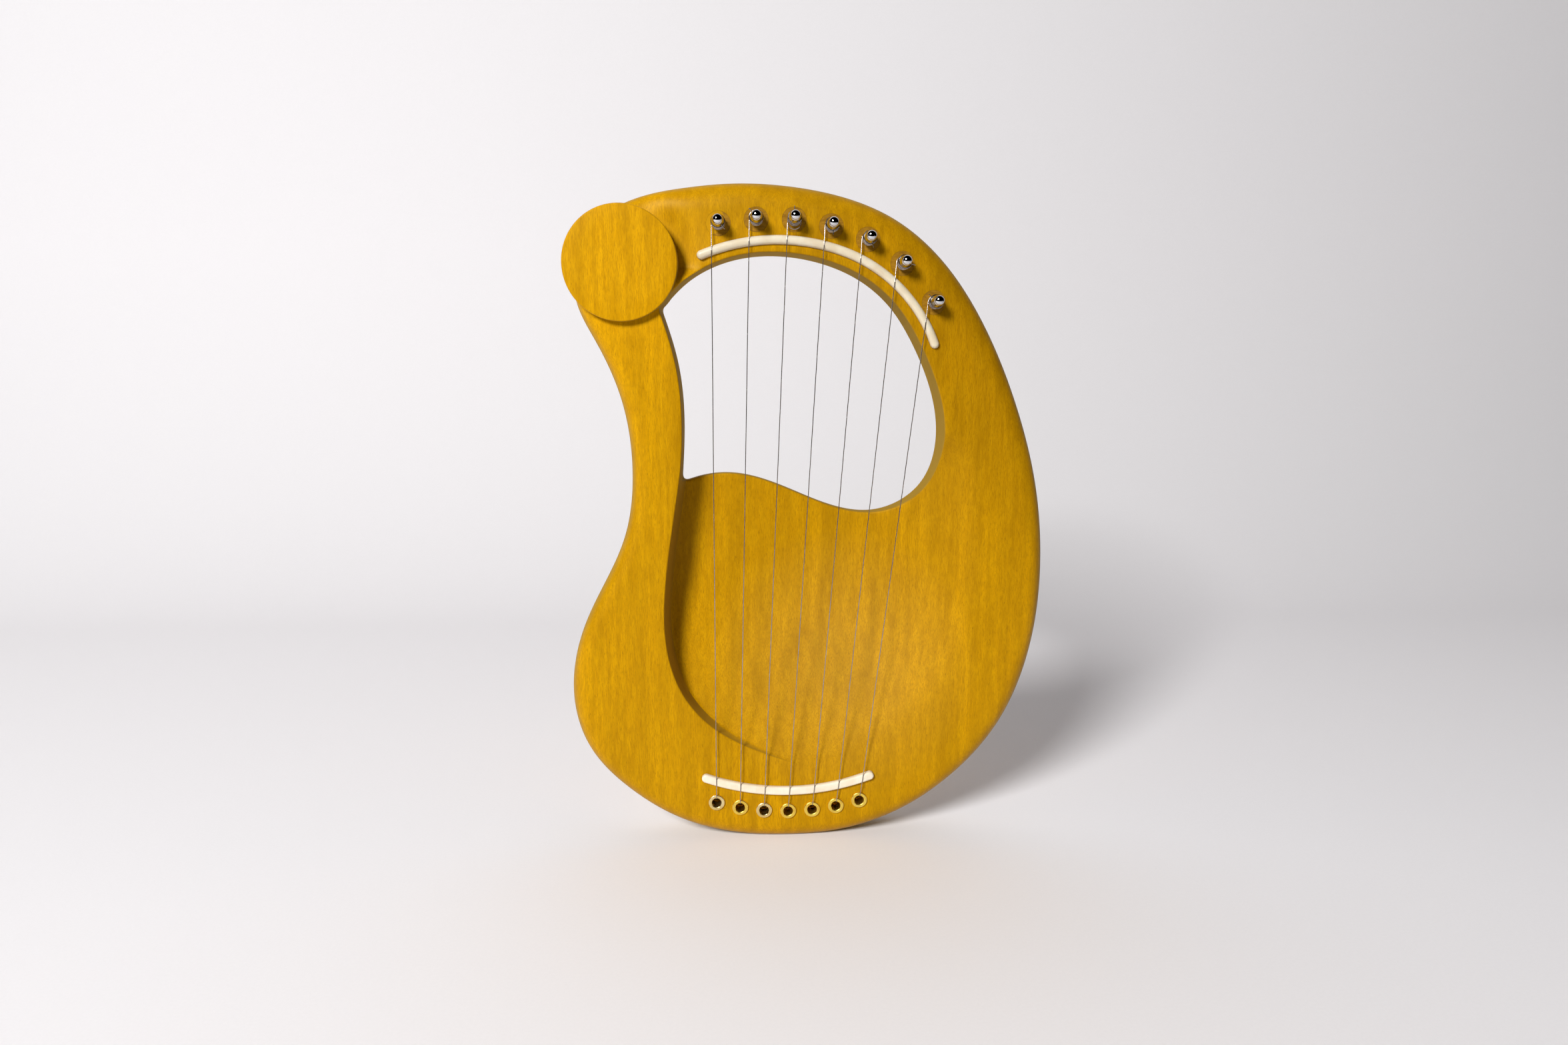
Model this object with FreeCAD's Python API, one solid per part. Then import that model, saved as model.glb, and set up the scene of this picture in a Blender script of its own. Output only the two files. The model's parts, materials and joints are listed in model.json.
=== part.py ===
"""Seven-string lyre harp: a carved wooden body, two saddles, seven tuned steel strings.

Frame: +Z up with the harp standing on its foot, +X to the right seen from the front, the strings face -Y.
The origin is under the middle of the harp, level with its foot. Lengths are millimetres.
"""

import FreeCAD
import Part
import math
import os

Vector = FreeCAD.Vector

# Body block
BODY_THICKNESS = 34.0
BACK_Y = BODY_THICKNESS / 2
FRONT_Y = -BODY_THICKNESS / 2
FRONT_ROUND = 10.0
BACK_ROUND = 5.0

# Round boss at the top of the left arm
BOSS_X = -107.5
BOSS_Z = 349.5
BOSS_RADIUS = 32.5
BOSS_PROUD = 5.0
BOSS_EDGE_ROUND = 0.8

# Outline of the body, a closed curve, clockwise from the boss and back to it; it closes inside the boss.
# It dips a little below z = 0, where the foot is cut flat.
OUTLINE = [
    (-119.0, 377.0),
    (-103.5, 385.8),
    (-74.0, 392.4),
    (-43.0, 395.3),
    (-12.5, 394.0),
    (18.0, 388.6),
    (48.5, 376.8),
    (78.5, 352.7),
    (103.0, 318.0),
    (124.3, 271.6),
    (138.4, 223.4),
    (143.3, 174.0),
    (138.7, 123.3),
    (120.0, 71.6),
    (88.0, 34.2),
    (54.6, 12.4),
    (21.0, 1.6),
    (-13.0, -1.1),
    (-47.0, 1.5),
    (-80.0, 11.6),
    (-111.0, 32.0),
    (-134.0, 58.5),
    (-143.3, 97.0),
    (-133.2, 141.2),
    (-110.1, 189.9),
    (-104.4, 232.0),
    (-109.9, 272.5),
    (-124.3, 306.8),
    (-134.0, 328.0),
]

# Opening: the arch side runs from the boss round to the corner at the left arm
OPENING_ARCH = [
    (-86.6, 324.8),
    (-72.8, 339.2),
    (-45.4, 353.2),
    (-17.0, 356.2),
    (9.0, 352.0),
    (32.0, 342.2),
    (51.0, 326.2),
    (64.5, 305.6),
    (75.3, 281.2),
    (81.0, 251.0),
    (71.8, 219.2),
    (43.0, 202.6),
    (10.4, 207.6),
    (-14.1, 217.8),
    (-48.0, 226.4),
    (-66.0, 224.2),
    (-76.0, 221.0),
]
OPENING_ARM = [(-76.0, 221.0), (-74.2, 257.0), (-77.8, 295.0), (-86.6, 324.8)]
OPENING_LOW_ROUND = 5.0
OPENING_HIGH_ROUND = 2.0

# Arch and right arm: the front face is lower here than on the left arm, and slopes outward
ARCH_X = -18.3
ARCH_Z = 262.6
ARCH_RADIUS = 93.8
ARCH_DROP = 3.0
ARCH_SLOPE = 0.05
ARCH_FADE_FROM_Z = 120.0
ARCH_FADE_HEIGHT = 150.0
LEFT_ARM_EDGE_X = -74.0
LEFT_ARM_FADE = 14.0
BOSS_FADE_FROM_Z = 338.0
BOSS_FADE_HEIGHT = 10.0
BOSS_DIP = 3.5
BOSS_DIP_WIDTH = 11.0

# Hollow behind the strings: a bowl that is cut off by a step along the left arm
PLATE_THICKNESS = 7.3
HOLLOW_X = 0.0
HOLLOW_Z = 180.0
HOLLOW_TOP_Z = 226.0
HOLLOW_REACH_X = 104.0
HOLLOW_REACH_DOWN = 130.0
HOLLOW_REACH_UP = 45.0
STEP = [
    (-73.0, 250.0),
    (-76.2, 226.0),
    (-81.5, 192.0),
    (-86.0, 155.0),
    (-85.6, 125.0),
    (-76.6, 95.0),
    (-57.4, 72.3),
    (-32.4, 58.2),
    (-14.6, 51.4),
    (10.0, 44.0),
]

# Carved surfaces: the spacing of their points, how far a cutter reaches, and how far it stays off flat wood
CARVE_STEP = 8.0
CLEAR = 80.0
CARVE_LIFT = 0.3
CARVED_FACE_BOX = (-176.0, 176.0, -24.0, 424.0)
HOLLOW_BOX = (-104.0, 160.0, 32.0, 296.0)

# Strings
WIRE = 0.5
TOUCH_GAP = 0.03
LOWER_SADDLE_GAP = 0.18
UPPER_SADDLE_GAP = 0.10
STRING_ARC_X = -12.3
STRING_ARC_Z = 178.0
SADDLE_BEND = 3.0
EYELET_BEND = 1.3

# Lower saddle and eyelets: two arcs with one centre
LOWER_SADDLE_RADIUS = 146.2
LOWER_SADDLE_HALF_ANGLE = 20.2
LOWER_SADDLE_PROUD = 2.6
LOWER_SADDLE_ROUND = 1.3
EYELET_ARC_RADIUS = 159.6
EYELET_PITCH_ANGLE = 5.36

# Upper saddle: a wide arc on the left, as (centre x, centre z, radius), that runs into a tighter one
UPPER_SADDLE_LEFT = (-18.3, 248.4, 114.7)
UPPER_SADDLE_RIGHT_RADIUS = 89.4
UPPER_SADDLE_FROM = 112.3
UPPER_SADDLE_JOIN = 71.3
UPPER_SADDLE_TO = 21.0
UPPER_SADDLE_TOP_Y = FRONT_Y + 0.5
UPPER_SADDLE_ROUND = 2.2
SADDLE_WIDTH = 5.2
SADDLE_HEIGHT = 6.0

# Eyelets, string holes, and the cups and ball ends behind them
EYELET_OUTER = 10.0
EYELET_BORE = 6.0
EYELET_BARREL = 7.0
EYELET_LENGTH = 8.0
EYELET_RIM = 1.2
STRING_HOLE = 5.0
CUP_OUTER = 9.0
CUP_LENGTH = 8.0
CUP_BORE = 2.0
CUP_POCKET = 4.4
CUP_POCKET_DEPTH = 5.5
BALL_END = 4.0
BALL_END_LENGTH = 4.0

# Tuning pins: one place for each string, on the face of the arch
PIN_PLACES = [
    (-52.0, 372.0),
    (-30.5, 374.3),
    (-8.8, 374.3),
    (12.5, 370.8),
    (33.7, 363.6),
    (53.7, 350.2),
    (72.4, 328.2),
]
PIN_LEAN = 5.0
PIN_DIAMETER = 7.0
PIN_LENGTH = 56.0
PIN_HEIGHT = 15.0
PIN_SQUARE = 5.2
PIN_SQUARE_LENGTH = 10.0
PIN_HOLE = 0.8
PIN_HOLE_HEIGHT = 7.5
PIN_CLEARANCE = 0.05
BUSHING_DIAMETER = 14.0

# Wire on each pin: one turn that belongs to the string, then turns that go round with the pin
TURN_GAP = 0.10
WINDING_GAP = 0.02
TURN_HEIGHT = 2.0
TURN_ANGLE = 300.0
WINDING_FROM = 3.0
WINDING_TURNS = [4.3, 3.8, 3.9, 4.4, 4.35, 4.2, 3.75]
WINDING_PAST_HOLE = 0.03
TAIL = 2.6
TAIL_START = 0.17
TAIL_DIAMETER = 0.42


def smooth_step(t):
    t = min(1.0, max(0.0, t))
    return t * t * (3 - 2 * t)


def carved_face_y(x, z):
    """Front face of the body: flat on the left arm and the foot, lower on the arch and right arm."""
    level = smooth_step((z - ARCH_FADE_FROM_Z) / ARCH_FADE_HEIGHT)
    beside_arm = smooth_step((x - LEFT_ARM_EDGE_X) / LEFT_ARM_FADE)
    above_boss = smooth_step((z - BOSS_FADE_FROM_Z) / BOSS_FADE_HEIGHT)
    outward = math.hypot(x - ARCH_X, z - ARCH_Z) - ARCH_RADIUS
    from_boss = math.hypot(x - BOSS_X, z - BOSS_Z) - BOSS_RADIUS
    dip = BOSS_DIP * math.exp(-((from_boss / BOSS_DIP_WIDTH) ** 2)) * above_boss
    drop = ARCH_DROP + ARCH_SLOPE * max(0.0, outward) + dip
    return FRONT_Y + level * max(beside_arm, above_boss) * drop


def carving_y(x, z):
    """The carved face, held a little in front of the wood where the face stays flat."""
    depth = carved_face_y(x, z) - FRONT_Y
    return FRONT_Y + depth - CARVE_LIFT * (1 - smooth_step(depth / ARCH_DROP))


def hollow_floor_y(x, z):
    """Floor of the hollow: a flat plate that curves up to the front at the right and at the foot."""
    across = max(0.0, x - HOLLOW_X) / HOLLOW_REACH_X
    down = max(0.0, HOLLOW_Z - z) / HOLLOW_REACH_DOWN
    up = max(0.0, z - HOLLOW_TOP_Z) / HOLLOW_REACH_UP
    rise = across**2 + down**2 + up**2
    return BACK_Y - PLATE_THICKNESS - (BODY_THICKNESS - PLATE_THICKNESS) * rise


def curve_edge(points, closed=False):
    spline = Part.BSplineCurve()
    spline.interpolate(Points=[Vector(x, 0, z) for x, z in points], PeriodicFlag=closed)
    return spline.toShape()


def line_edge(start, end):
    return Part.makeLine(Vector(start[0], 0, start[1]), Vector(end[0], 0, end[1]))


def prism(edges, y_from, y_to):
    """Solid between two heights, from edges drawn in the plane y = 0."""
    face = Part.Face(Part.Wire(edges))
    face.translate(Vector(0, y_from, 0))
    return face.extrude(Vector(0, y_to - y_from, 0))


def in_front_of(height_y, box):
    """Everything in front of a carved surface, as a slab."""
    x_from, x_to, z_from, z_to = box
    columns = round((x_to - x_from) / CARVE_STEP)
    rows = round((z_to - z_from) / CARVE_STEP)
    grid = []
    for i in range(columns + 1):
        x = x_from + CARVE_STEP * i
        heights = [z_from + CARVE_STEP * j for j in range(rows + 1)]
        grid.append([Vector(x, height_y(x, z), z) for z in heights])
    surface = Part.BSplineSurface()
    surface.interpolate(grid)
    return surface.toShape().extrude(Vector(0, -CLEAR, 0))


def cylinder(start, direction, radius, length):
    return Part.makeCylinder(radius, length, start, direction)


def cylinder_y(x, z, radius, y_from, y_to):
    return cylinder(Vector(x, y_from, z), Vector(0, 1, 0), radius, y_to - y_from)


def turned(profile, x, z):
    """Solid turned about a line along Y, from (radius, y) corners; three-item entries are arcs."""
    axis_start = Vector(x, 0, z)
    edges = []
    for shape in profile:
        corners = [Vector(x + radius, y, z) for radius, y in shape]
        if len(corners) == 3:
            edges.append(Part.Arc(*corners).toShape())
        else:
            edges.append(Part.makeLine(*corners))
    face = Part.Face(Part.Wire(edges))
    return face.revolve(axis_start, Vector(0, 1, 0), 360)


def rounded_edges(solid, radius, chosen):
    return solid.makeFillet(radius, [edge for edge in solid.Edges if chosen(edge.BoundBox)])


def boss():
    front = FRONT_Y - BOSS_PROUD
    disc = cylinder_y(BOSS_X, BOSS_Z, BOSS_RADIUS, front, BACK_Y)
    disc = rounded_edges(disc, BOSS_EDGE_ROUND, lambda box: box.YMax < front + TOUCH_GAP)
    return rounded_edges(disc, BACK_ROUND, lambda box: box.YMin > BACK_Y - TOUCH_GAP)


def block():
    """The outline cut from a plank: edges rounded, foot cut flat, the arch carved lower, the boss added."""
    plank = prism([curve_edge(OUTLINE, closed=True)], FRONT_Y, BACK_Y)
    plank = rounded_edges(plank, FRONT_ROUND, lambda box: box.YMax < FRONT_Y + TOUCH_GAP)
    plank = rounded_edges(plank, BACK_ROUND, lambda box: box.YMin > BACK_Y - TOUCH_GAP)
    under_foot = Part.makeBox(2 * CLEAR, 2 * CLEAR, CLEAR, Vector(-CLEAR, -CLEAR, -CLEAR))
    return plank.cut(under_foot).cut(in_front_of(carving_y, CARVED_FACE_BOX)).fuse(boss())


def opening():
    cutter = prism([curve_edge(OPENING_ARCH), curve_edge(OPENING_ARM)], -CLEAR, CLEAR)
    low_x, low_z = OPENING_ARM[0]
    high_x, high_z = OPENING_ARM[-1]
    for x, z, radius in ((low_x, low_z, OPENING_LOW_ROUND), (high_x, high_z, OPENING_HIGH_ROUND)):
        corner = Vector(x, 0, z)
        near = [edge for edge in cutter.Edges if edge.distToShape(Part.Vertex(corner))[0] < TOUCH_GAP]
        cutter = cutter.makeFillet(radius, near)
    return cutter


def hollow():
    x_from, x_to, z_from, z_to = HOLLOW_BOX
    top, foot = STEP[0], STEP[-1]
    corners = [foot, (foot[0], z_from), (x_to, z_from), (x_to, z_to), (top[0], z_to), top]
    edges = [curve_edge(STEP)]
    edges += [line_edge(start, end) for start, end in zip(corners, corners[1:])]
    region = prism(edges, -CLEAR, CLEAR)
    return region.common(in_front_of(hollow_floor_y, HOLLOW_BOX))


def radial(place, reach):
    """Point at a distance from the centre of the string arcs, straight below it when place is 0."""
    angle = math.radians(place)
    return STRING_ARC_X + reach * math.sin(angle), STRING_ARC_Z - reach * math.cos(angle)


def eyelet_places():
    middle = (len(PIN_PLACES) - 1) / 2
    return [radial((i - middle) * EYELET_PITCH_ANGLE, EYELET_ARC_RADIUS) for i in range(len(PIN_PLACES))]


def arc_point(arc, angle, offset=0.0):
    centre_x, centre_z, radius = arc
    angle = math.radians(angle)
    reach = radius + offset
    return Vector(centre_x + reach * math.cos(angle), 0, centre_z + reach * math.sin(angle))


def arc_edge(arc, angle_from, angle_to, offset):
    middle = (angle_from + angle_to) / 2
    points = [arc_point(arc, angle, offset) for angle in (angle_from, middle, angle_to)]
    return Part.Arc(*points).toShape()


def end_cap(arc, angle, turn):
    """Half circle that closes the end of a band; turn is +1 where angles grow past the end, else -1."""
    half = SADDLE_WIDTH / 2
    outer, inner = arc_point(arc, angle, half), arc_point(arc, angle, -half)
    ahead = math.radians(angle + turn * 90)
    tip = (outer + inner) / 2 + Vector(math.cos(ahead), 0, math.sin(ahead)) * half
    return Part.Arc(outer, tip, inner).toShape()


def band(arcs):
    """Edges round a strip of the saddles' width along arcs, each (arc, angle from, angle to)."""
    half = SADDLE_WIDTH / 2
    first, last = arcs[0], arcs[-1]
    edges = [arc_edge(arc, start, end, half) for arc, start, end in arcs]
    edges.append(end_cap(last[0], last[2], math.copysign(1, last[2] - last[1])))
    edges += [arc_edge(arc, end, start, -half) for arc, start, end in reversed(arcs)]
    edges.append(end_cap(first[0], first[1], math.copysign(1, first[1] - first[2])))
    return edges


def upper_saddle_right():
    """The tighter arc, whose centre lies on the line from the wide arc's centre to their meeting."""
    centre = arc_point(UPPER_SADDLE_LEFT, UPPER_SADDLE_JOIN, -UPPER_SADDLE_RIGHT_RADIUS)
    return centre.x, centre.z, UPPER_SADDLE_RIGHT_RADIUS


def upper_band():
    left = (UPPER_SADDLE_LEFT, UPPER_SADDLE_FROM, UPPER_SADDLE_JOIN)
    right = (upper_saddle_right(), UPPER_SADDLE_JOIN, UPPER_SADDLE_TO)
    return band([left, right])


def lower_band():
    arc = (STRING_ARC_X, STRING_ARC_Z, LOWER_SADDLE_RADIUS)
    return band([(arc, -90 - LOWER_SADDLE_HALF_ANGLE, -90 + LOWER_SADDLE_HALF_ANGLE)])


def saddle(edges, top_y, round_radius):
    strip = prism(edges, top_y, top_y + SADDLE_HEIGHT)
    return rounded_edges(strip, round_radius, lambda box: box.YMax < top_y + TOUCH_GAP)


def saddle_groove(edges, top_y):
    return prism(edges, -CLEAR, top_y + SADDLE_HEIGHT)


class Pin:
    """Place and directions of one tuning pin, and the way its string runs."""

    def __init__(self, place, eyelet, winding_turns):
        x, z = place
        self.winding_turns = winding_turns
        self.foot = Vector(x, carved_face_y(x, z), z)
        outward = Vector(x - ARCH_X, 0, z - ARCH_Z).normalize()
        lean = math.radians(PIN_LEAN)
        self.axis = outward * math.sin(lean) - Vector(0, math.cos(lean), 0)
        self.turn_radius = PIN_DIAMETER / 2 + TURN_GAP + WIRE / 2
        self.eyelet = eyelet
        self.turn_start = self.at(TURN_HEIGHT) - Vector(self.turn_radius, 0, 0)
        for _ in range(8):
            self.route = self.string_route()
            self.along = (self.turn_start - self.route[-1]).normalize()
            self.aside = self.axis.cross(self.along).normalize()
            self.turn_start = self.at(TURN_HEIGHT) + self.aside * self.turn_radius
        self.route.append(self.turn_start)

    def at(self, height):
        """Point on the pin's axis, at a height above the face of the arch."""
        return self.foot + self.axis * height

    def string_route(self):
        """Corners of the string, from the ball end to the upper saddle."""
        x, z = self.eyelet
        end_x, end_z = self.turn_start.x, self.turn_start.z
        lean = (end_x - x) / (end_z - z)
        inside = EYELET_BORE / 2 - WIRE / 2 - TOUCH_GAP
        ball = Vector(x, BACK_Y - CUP_POCKET_DEPTH + BALL_END_LENGTH / 2, z)
        rim_y = FRONT_Y - EYELET_RIM - WIRE / 2 - 2 * TOUCH_GAP
        rim = Vector(x + lean * inside, rim_y, z + inside)
        middle = ((x + end_x) / 2, (z + end_z) / 2)
        lower = crossing((x, z), middle, lower_saddle_offset)
        upper = crossing(middle, (end_x, end_z), upper_saddle_offset)
        lower_y = FRONT_Y - LOWER_SADDLE_PROUD - WIRE / 2 - LOWER_SADDLE_GAP
        upper_y = UPPER_SADDLE_TOP_Y - WIRE / 2 - UPPER_SADDLE_GAP
        return [ball, rim, Vector(lower[0], lower_y, lower[1]), Vector(upper[0], upper_y, upper[1])]

    def direction(self, angle):
        """Direction across the pin, at an angle gone round with the string from where it arrives."""
        angle = math.radians(angle)
        onward = self.aside.cross(self.axis).normalize()
        return self.aside * math.cos(angle) + onward * math.sin(angle)


def lower_saddle_offset(x, z):
    return LOWER_SADDLE_RADIUS - math.hypot(x - STRING_ARC_X, z - STRING_ARC_Z)


def upper_saddle_offset(x, z):
    join = arc_point(UPPER_SADDLE_LEFT, UPPER_SADDLE_JOIN)
    centre_x, centre_z, radius = UPPER_SADDLE_LEFT if x < join.x else upper_saddle_right()
    return math.hypot(x - centre_x, z - centre_z) - radius


def crossing(start, end, offset):
    """Point between start and end where offset changes sign from below zero to above it."""
    low, high = 0.0, 1.0
    for _ in range(50):
        middle = (low + high) / 2
        x = start[0] + (end[0] - start[0]) * middle
        z = start[1] + (end[1] - start[1]) * middle
        if offset(x, z) < 0:
            low = middle
        else:
            high = middle
    return x, z


def bent_path(corners, bends):
    """Straight runs joined by tangent arcs, one bend radius for each inner corner."""
    edges = []
    start = corners[0]
    for before, corner, after, radius in zip(corners, corners[1:], corners[2:], bends):
        arriving = (corner - before).normalize()
        leaving = (after - corner).normalize()
        half_turn = arriving.getAngle(leaving) / 2
        reach = radius * math.tan(half_turn)
        bend_from = corner - arriving * reach
        bend_to = corner + leaving * reach
        inward = (leaving - arriving).normalize()
        bend_middle = corner + inward * (radius / math.cos(half_turn) - radius)
        edges.append(Part.makeLine(start, bend_from))
        edges.append(Part.Arc(bend_from, bend_middle, bend_to).toShape())
        start = bend_to
    edges.append(Part.makeLine(start, corners[-1]))
    return edges


def wire_along(edges, start, direction):
    profile = Part.Wire(Part.makeCircle(WIRE / 2, start, direction))
    return Part.Wire(edges).makePipeShell([profile], True, False)


def string(pin):
    """One string: ball end, eyelet, both saddles, and its last turn round the pin."""
    edges = bent_path(pin.route, [EYELET_BEND, SADDLE_BEND, SADDLE_BEND])
    centre = pin.at(TURN_HEIGHT)
    points = []
    for share in (0, 0.5, 1):
        angle = math.radians(TURN_ANGLE * share)
        across = pin.aside * math.cos(angle) + pin.along * math.sin(angle)
        points.append(centre + across * pin.turn_radius)
    edges.append(Part.Arc(*points).toShape())
    return wire_along(edges, pin.route[0], pin.route[1] - pin.route[0])


def winding_end(pin):
    """How far round the pin the winding goes in all, counted like the string's own turn."""
    return TURN_ANGLE + 360 * pin.winding_turns


def winding(pin):
    """The turns of wire that go round with the pin, and the cut end that comes out of its hole."""
    radius = PIN_DIAMETER / 2 + WINDING_GAP + WIRE / 2
    pitch = (PIN_HOLE_HEIGHT - WINDING_FROM) / pin.winding_turns
    rise = pitch * (pin.winding_turns + WINDING_PAST_HOLE)
    slope = math.atan(pitch / (2 * math.pi * radius))
    heading = Vector(0, -math.cos(slope), math.sin(slope))
    profile = Part.Wire(Part.makeCircle(WIRE / 2, Vector(radius, 0, 0), heading))
    helix = Part.makeLongHelix(pitch, rise, radius, 0, True)
    turns = Part.Wire(helix.Edges).makePipeShell([profile], True, True)
    across = pin.direction(TURN_ANGLE)
    turning = FreeCAD.Rotation(across, pin.axis.cross(across), pin.axis, "ZXY")
    turns.Placement = FreeCAD.Placement(pin.at(WINDING_FROM), turning)
    outward = pin.direction(winding_end(pin))
    tail_start = pin.at(PIN_HOLE_HEIGHT) + outward * (radius + TAIL_START)
    return turns.fuse(cylinder(tail_start, -outward, TAIL_DIAMETER / 2, 2 * radius + TAIL))


def tuning_pin(pin):
    """Round shank with a domed end in front, a hole for the wire, and a square for the key behind."""
    radius = PIN_DIAMETER / 2
    back = pin.at(PIN_HEIGHT - PIN_LENGTH)
    dome_centre = pin.at(PIN_HEIGHT - radius)
    shank = cylinder(back, pin.axis, radius, PIN_LENGTH - radius)
    dome = Part.makeSphere(radius, dome_centre)
    shape = shank.fuse(dome).removeSplitter()
    square = Part.makeBox(PIN_SQUARE, PIN_SQUARE, PIN_SQUARE_LENGTH)
    square.translate(Vector(-PIN_SQUARE / 2, -PIN_SQUARE / 2, 0))
    collar = Part.makeCylinder(PIN_DIAMETER, PIN_SQUARE_LENGTH)
    waste = collar.cut(square)
    waste.Placement = FreeCAD.Placement(back, FreeCAD.Rotation(Vector(0, 0, 1), pin.axis))
    outward = pin.direction(winding_end(pin))
    hole_start = pin.at(PIN_HOLE_HEIGHT) - outward * PIN_DIAMETER
    return shape.cut(waste).cut(cylinder(hole_start, outward, PIN_HOLE / 2, 2 * PIN_DIAMETER))


def through_pin_hole(pin, radius):
    """Cylinder along a pin's axis that goes right through the body."""
    return cylinder(pin.at(-CLEAR), pin.axis, radius, 2 * CLEAR)


def pin_bushing(pin, plain_block):
    """Hardwood plug, trimmed flush with both faces of the body and bored for the pin."""
    plug = through_pin_hole(pin, BUSHING_DIAMETER / 2).common(plain_block)
    return plug.cut(through_pin_hole(pin, PIN_DIAMETER / 2 + PIN_CLEARANCE))


def front_eyelet(place):
    """Rolled metal eyelet: a barrel in the wood and a round rim on its face."""
    bore, barrel, outer = EYELET_BORE / 2, EYELET_BARREL / 2, EYELET_OUTER / 2
    inner_end = FRONT_Y + EYELET_LENGTH
    crown = ((bore + outer) / 2, FRONT_Y - EYELET_RIM)
    profile = [
        [(bore, inner_end), (bore, FRONT_Y)],
        [(bore, FRONT_Y), crown, (outer, FRONT_Y)],
        [(outer, FRONT_Y), (barrel, FRONT_Y)],
        [(barrel, FRONT_Y), (barrel, inner_end)],
        [(barrel, inner_end), (bore, inner_end)],
    ]
    return turned(profile, *place)


def back_ferrule(place):
    """Cup let into the back, with a pocket for the ball end and a hole for the wire."""
    x, z = place
    cup = cylinder_y(x, z, CUP_OUTER / 2, BACK_Y - CUP_LENGTH, BACK_Y)
    cup = cup.cut(cylinder_y(x, z, CUP_POCKET / 2, BACK_Y - CUP_POCKET_DEPTH, BACK_Y))
    return cup.cut(cylinder_y(x, z, CUP_BORE / 2, -CLEAR, BACK_Y))


def ball_end(pin):
    """Small drum on the end of the wire, which rests on the floor of its cup."""
    x, z = pin.eyelet
    start = BACK_Y - CUP_POCKET_DEPTH
    drum = cylinder_y(x, z, BALL_END / 2, start, start + BALL_END_LENGTH)
    way = pin.route[1] - pin.route[0]
    return drum.cut(cylinder(pin.route[0], way, WIRE / 2 + TOUCH_GAP, CLEAR))


def string_holes(place):
    x, z = place
    barrel = cylinder_y(x, z, EYELET_BARREL / 2, -CLEAR, FRONT_Y + EYELET_LENGTH)
    hole = cylinder_y(x, z, STRING_HOLE / 2, -CLEAR, CLEAR)
    cup = cylinder_y(x, z, CUP_OUTER / 2, BACK_Y - CUP_LENGTH, CLEAR)
    return [barrel, hole, cup]


def body(plain_block, pins):
    """The carved body, with the opening, the hollow, the saddles' grooves and every hole."""
    cutters = [hollow(), opening()]
    cutters.append(saddle_groove(upper_band(), UPPER_SADDLE_TOP_Y))
    cutters.append(saddle_groove(lower_band(), FRONT_Y - LOWER_SADDLE_PROUD))
    for pin in pins:
        cutters.append(through_pin_hole(pin, BUSHING_DIAMETER / 2))
        cutters += string_holes(pin.eyelet)
    shape = plain_block
    for cutter in cutters:
        shape = shape.cut(cutter)
    return shape


def build():
    pins = [Pin(*row) for row in zip(PIN_PLACES, eyelet_places(), WINDING_TURNS)]
    plain_block = block()
    nodes = {
        "body": body(plain_block, pins),
        "upper_saddle": saddle(upper_band(), UPPER_SADDLE_TOP_Y, UPPER_SADDLE_ROUND),
        "lower_saddle": saddle(lower_band(), FRONT_Y - LOWER_SADDLE_PROUD, LOWER_SADDLE_ROUND),
    }
    for number, pin in enumerate(pins, 1):
        nodes[f"string_{number}"] = string(pin)
        nodes[f"string_winding_{number}"] = winding(pin)
        nodes[f"tuning_pin_{number}"] = tuning_pin(pin)
        nodes[f"pin_bushing_{number}"] = pin_bushing(pin, plain_block)
        nodes[f"front_eyelet_{number}"] = front_eyelet(pin.eyelet)
        nodes[f"back_ferrule_{number}"] = back_ferrule(pin.eyelet)
        nodes[f"ball_end_{number}"] = ball_end(pin)
    return nodes


def main():
    os.makedirs("parts", exist_ok=True)
    for name, shape in build().items():
        solids = shape.Solids
        print(name, "solids", len(solids), "volume", round(shape.Volume, 1), "valid", shape.isValid())
        solid = solids[0] if len(solids) == 1 else Part.makeCompound(solids)
        solid.exportStep(f"parts/{name}.step")


if __name__ == "__main__":
    main()
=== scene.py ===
"""Looks of the seven-string lyre harp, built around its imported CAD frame.

Blender's units are metres. The shapes here are written in millimetres, in the frame's own axes:
+Z up, +X to the right seen from the front, and the strings face -Y.
"""

import json
import math
import random

import bmesh
import bpy
import numpy as np
from mathutils import Matrix, Vector
from mathutils.geometry import delaunay_2d_cdt


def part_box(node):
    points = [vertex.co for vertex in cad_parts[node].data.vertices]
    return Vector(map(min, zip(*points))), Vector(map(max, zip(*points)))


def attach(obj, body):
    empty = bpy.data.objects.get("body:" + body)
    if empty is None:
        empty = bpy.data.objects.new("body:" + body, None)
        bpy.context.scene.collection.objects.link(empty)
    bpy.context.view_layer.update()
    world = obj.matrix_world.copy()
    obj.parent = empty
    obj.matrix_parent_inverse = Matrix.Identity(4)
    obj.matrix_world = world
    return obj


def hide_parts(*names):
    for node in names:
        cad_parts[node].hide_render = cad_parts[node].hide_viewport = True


MM = 0.001

# Body slab
FRONT_Y = -17.0
BACK_Y = 17.0
BACK_ROUND = 5.0
ROUND_WIDTH = 10.0
ROUND_DEPTH = 10.0
ARCH_ROUND_WIDTH = 14.0
ARCH_ROUND_DEPTH = 9.0
OPENING_ROUND = 0.9
STEP_ROUND = 0.8
STEP_FILLET = 1.6
STEP_DRAFT = 0.09
STEP_WALL_LEAST = 0.1
STEP_ROUND_SHARE = 0.4

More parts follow.
